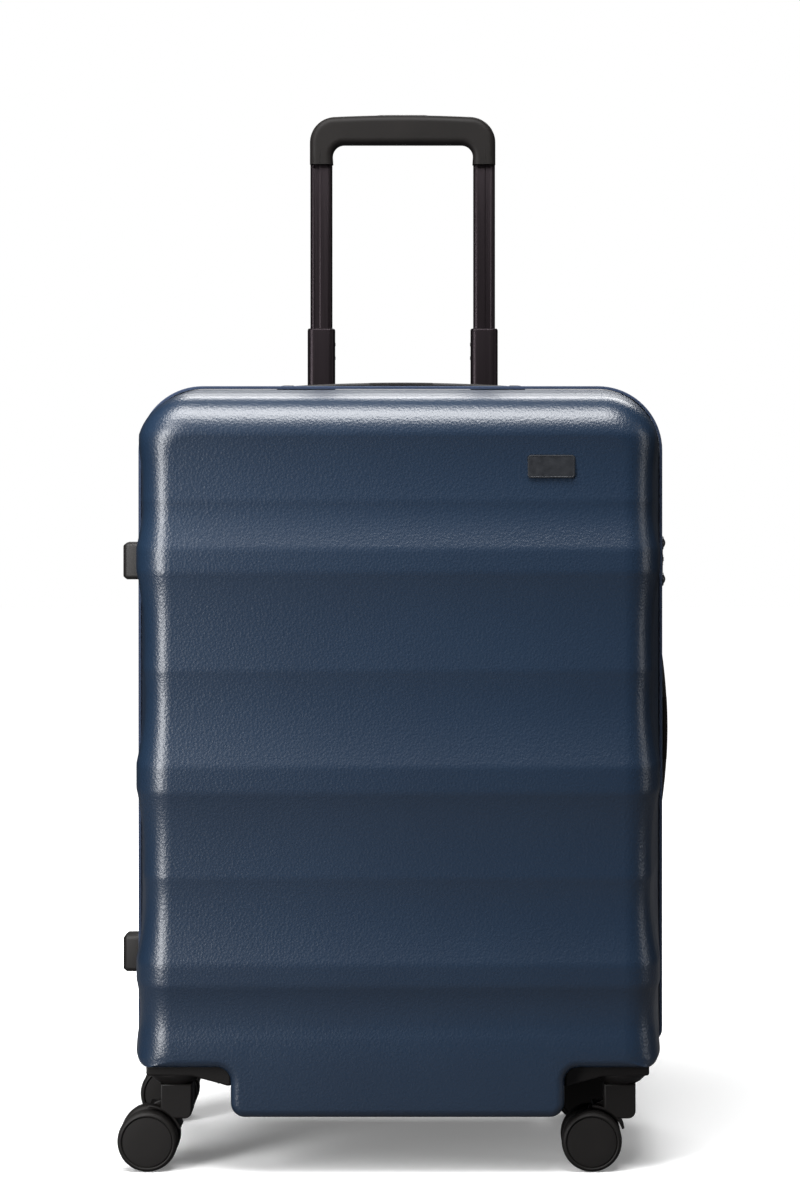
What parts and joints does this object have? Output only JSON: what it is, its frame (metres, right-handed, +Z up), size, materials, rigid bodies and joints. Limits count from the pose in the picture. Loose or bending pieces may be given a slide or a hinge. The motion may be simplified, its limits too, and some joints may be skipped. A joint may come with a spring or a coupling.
{
  "type": "hard shell suitcase on wheels",
  "caption": "Ribbed hard-shell trolley case: two hinged zip-closed halves, telescopic pull handle, top and side carry handles, side lock and swivelling twin-wheel casters.",
  "frame": {"origin": "on the floor under the middle of the case, midway between the halves", "axes": "+Z up, -Y out of the front face, +X towards the lock and side handle"},
  "size_m": [0.4875, 0.27, 0.9187],
  "materials": {
    "navy_shell": "moulded polycarbonate with a fine matte grain",
    "zip_tape": "woven navy polyester tape",
    "lining_cloth": "woven polyester lining",
    "black_plastic": "moulded black plastic, satin",
    "grip_plastic": "soft-touch moulded grip",
    "tube_metal": "extruded tube, dark brown-black anodised",
    "axle_steel": "ground steel pin",
    "wheel_rubber": "matte polyurethane tread on a plastic wheel",
    "dark_metal": "gunmetal die casting"
  },
  "bodies": {
    "rear_case": {"rear_shell": "navy_shell", "rear_zip_tape": "zip_tape", "hinge_tape": "zip_tape", "rear_lining": "lining_cloth", "left_packing_strap": "zip_tape", "right_packing_strap": "zip_tape", "packing_strap_buckle": "black_plastic", "upper_side_foot": "black_plastic", "lower_side_foot": "black_plastic", "lock_case": "black_plastic", "top_handle_cap_a": "black_plastic", "top_handle_cap_b": "black_plastic", "side_handle_cap_a": "black_plastic", "side_handle_cap_b": "black_plastic", "trolley_bezel": "black_plastic", "trolley_base_bracket": "black_plastic", "left_outer_tube": "tube_metal", "right_outer_tube": "tube_metal", "rear_left_caster_housing": "black_plastic", "rear_right_caster_housing": "black_plastic"},
    "front_case": {"front_shell": "navy_shell", "front_zip_tape": "zip_tape", "badge": "black_plastic", "front_lining": "lining_cloth", "divider_panel": "lining_cloth", "front_left_caster_housing": "black_plastic", "front_right_caster_housing": "black_plastic"},
    "middle_stage": {"left_middle_tube": "tube_metal", "right_middle_tube": "tube_metal"},
    "upper_stage": {"left_upper_tube": "tube_metal", "right_upper_tube": "tube_metal", "trolley_grip": "grip_plastic"},
    "grip_button": {"grip_button": "black_plastic"},
    "top_handle": {"top_handle_strap": "black_plastic"},
    "side_handle": {"side_handle_strap": "black_plastic"},
    "lock_button": {"lock_button": "dark_metal"},
    "upper_zip_slider": {"upper_zip_slider": "dark_metal"},
    "lower_zip_slider": {"lower_zip_slider": "dark_metal"},
    "lock_dial_1": {"lock_dial_1": "dark_metal"},
    "lock_dial_2": {"lock_dial_2": "dark_metal"},
    "lock_dial_3": {"lock_dial_3": "dark_metal"},
    "front_left_fork": {"front_left_caster_fork": "black_plastic", "front_left_caster_axle": "axle_steel"},
    "front_left_inner_wheel": {"front_left_inner_wheel": "wheel_rubber"},
    "front_left_outer_wheel": {"front_left_outer_wheel": "wheel_rubber"},
    "front_right_fork": {"front_right_caster_fork": "black_plastic", "front_right_caster_axle": "axle_steel"},
    "front_right_inner_wheel": {"front_right_inner_wheel": "wheel_rubber"},
    "front_right_outer_wheel": {"front_right_outer_wheel": "wheel_rubber"},
    "rear_left_fork": {"rear_left_caster_fork": "black_plastic", "rear_left_caster_axle": "axle_steel"},
    "rear_left_inner_wheel": {"rear_left_inner_wheel": "wheel_rubber"},
    "rear_left_outer_wheel": {"rear_left_outer_wheel": "wheel_rubber"},
    "rear_right_fork": {"rear_right_caster_fork": "black_plastic", "rear_right_caster_axle": "axle_steel"},
    "rear_right_inner_wheel": {"rear_right_inner_wheel": "wheel_rubber"},
    "rear_right_outer_wheel": {"rear_right_outer_wheel": "wheel_rubber"}
  },
  "joints": [
    {"name": "lid_hinge", "type": "hinge", "parent": "rear_case", "child": "front_case", "pos_m": [-0.242, 0, 0.379], "axis": [0, 0, -1], "range_deg": [0, 180]},
    {"name": "middle_stage_slide", "type": "slide", "parent": "rear_case", "child": "middle_stage", "axis": [0, 0, 1], "range_m": [-0.058, 0.12]},
    {"name": "upper_stage_slide", "type": "slide", "parent": "middle_stage", "child": "upper_stage", "axis": [0, 0, 1], "range_m": [-0.15, 0.03]},
    {"name": "grip_button_press", "type": "slide", "parent": "upper_stage", "child": "grip_button", "axis": [0, 0, -1], "range_m": [0, 0.003], "stiffness_N_per_m": 400},
    {"name": "top_handle_lift", "type": "slide", "parent": "rear_case", "child": "top_handle", "axis": [0, 0, 1], "range_m": [0, 0.012], "stiffness_N_per_m": 400},
    {"name": "side_handle_lift", "type": "slide", "parent": "rear_case", "child": "side_handle", "axis": [1, 0, 0], "range_m": [0, 0.01], "stiffness_N_per_m": 400},
    {"name": "lock_button_press", "type": "slide", "parent": "rear_case", "child": "lock_button", "axis": [-1, 0, 0], "range_m": [0, 0.002], "stiffness_N_per_m": 400},
    {"name": "upper_zip_slide", "type": "slide", "parent": "rear_case", "child": "upper_zip_slider", "axis": [0, 0, 1], "range_m": [0, 0.06]},
    {"name": "lower_zip_slide", "type": "slide", "parent": "rear_case", "child": "lower_zip_slider", "axis": [0, 0, -1], "range_m": [0, 0.33]},
    {"name": "lock_dial_1_turn", "type": "hinge", "parent": "rear_case", "child": "lock_dial_1", "pos_m": [0.2288, 0.039, 0.51453], "axis": [0, 1, 0], "continuous": true},
    {"name": "lock_dial_2_turn", "type": "hinge", "parent": "rear_case", "child": "lock_dial_2", "pos_m": [0.2288, 0.0465, 0.51453], "axis": [0, 1, 0], "continuous": true},
    {"name": "lock_dial_3_turn", "type": "hinge", "parent": "rear_case", "child": "lock_dial_3", "pos_m": [0.2288, 0.054, 0.51453], "axis": [0, 1, 0], "continuous": true},
    {"name": "front_left_swivel", "type": "hinge", "parent": "front_case", "child": "front_left_fork", "pos_m": [-0.189, -0.095, 0.08], "axis": [0, 0, 1], "continuous": true},
    {"name": "front_left_inner_wheel_spin", "type": "hinge", "parent": "front_left_fork", "child": "front_left_inner_wheel", "pos_m": [-0.213, -0.0815, 0.02568], "axis": [0, 1, 0], "continuous": true},
    {"name": "front_left_outer_wheel_spin", "type": "hinge", "parent": "front_left_fork", "child": "front_left_outer_wheel", "pos_m": [-0.213, -0.1085, 0.02568], "axis": [0, 1, 0], "continuous": true},
    {"name": "front_right_swivel", "type": "hinge", "parent": "front_case", "child": "front_right_fork", "pos_m": [0.189, -0.095, 0.08], "axis": [0, 0, 1], "continuous": true},
    {"name": "front_right_inner_wheel_spin", "type": "hinge", "parent": "front_right_fork", "child": "front_right_inner_wheel", "pos_m": [0.165, -0.0815, 0.02568], "axis": [0, 1, 0], "continuous": true},
    {"name": "front_right_outer_wheel_spin", "type": "hinge", "parent": "front_right_fork", "child": "front_right_outer_wheel", "pos_m": [0.165, -0.1085, 0.02568], "axis": [0, 1, 0], "continuous": true},
    {"name": "rear_left_swivel", "type": "hinge", "parent": "rear_case", "child": "rear_left_fork", "pos_m": [-0.189, 0.095, 0.08], "axis": [0, 0, 1], "continuous": true},
    {"name": "rear_left_inner_wheel_spin", "type": "hinge", "parent": "rear_left_fork", "child": "rear_left_inner_wheel", "pos_m": [-0.213, 0.0815, 0.02568], "axis": [0, 1, 0], "continuous": true},
    {"name": "rear_left_outer_wheel_spin", "type": "hinge", "parent": "rear_left_fork", "child": "rear_left_outer_wheel", "pos_m": [-0.213, 0.1085, 0.02568], "axis": [0, 1, 0], "continuous": true},
    {"name": "rear_right_swivel", "type": "hinge", "parent": "rear_case", "child": "rear_right_fork", "pos_m": [0.189, 0.095, 0.08], "axis": [0, 0, 1], "continuous": true},
    {"name": "rear_right_inner_wheel_spin", "type": "hinge", "parent": "rear_right_fork", "child": "rear_right_inner_wheel", "pos_m": [0.165, 0.0815, 0.02568], "axis": [0, 1, 0], "continuous": true},
    {"name": "rear_right_outer_wheel_spin", "type": "hinge", "parent": "rear_right_fork", "child": "rear_right_outer_wheel", "pos_m": [0.165, 0.1085, 0.02568], "axis": [0, 1, 0], "continuous": true}
  ]
}
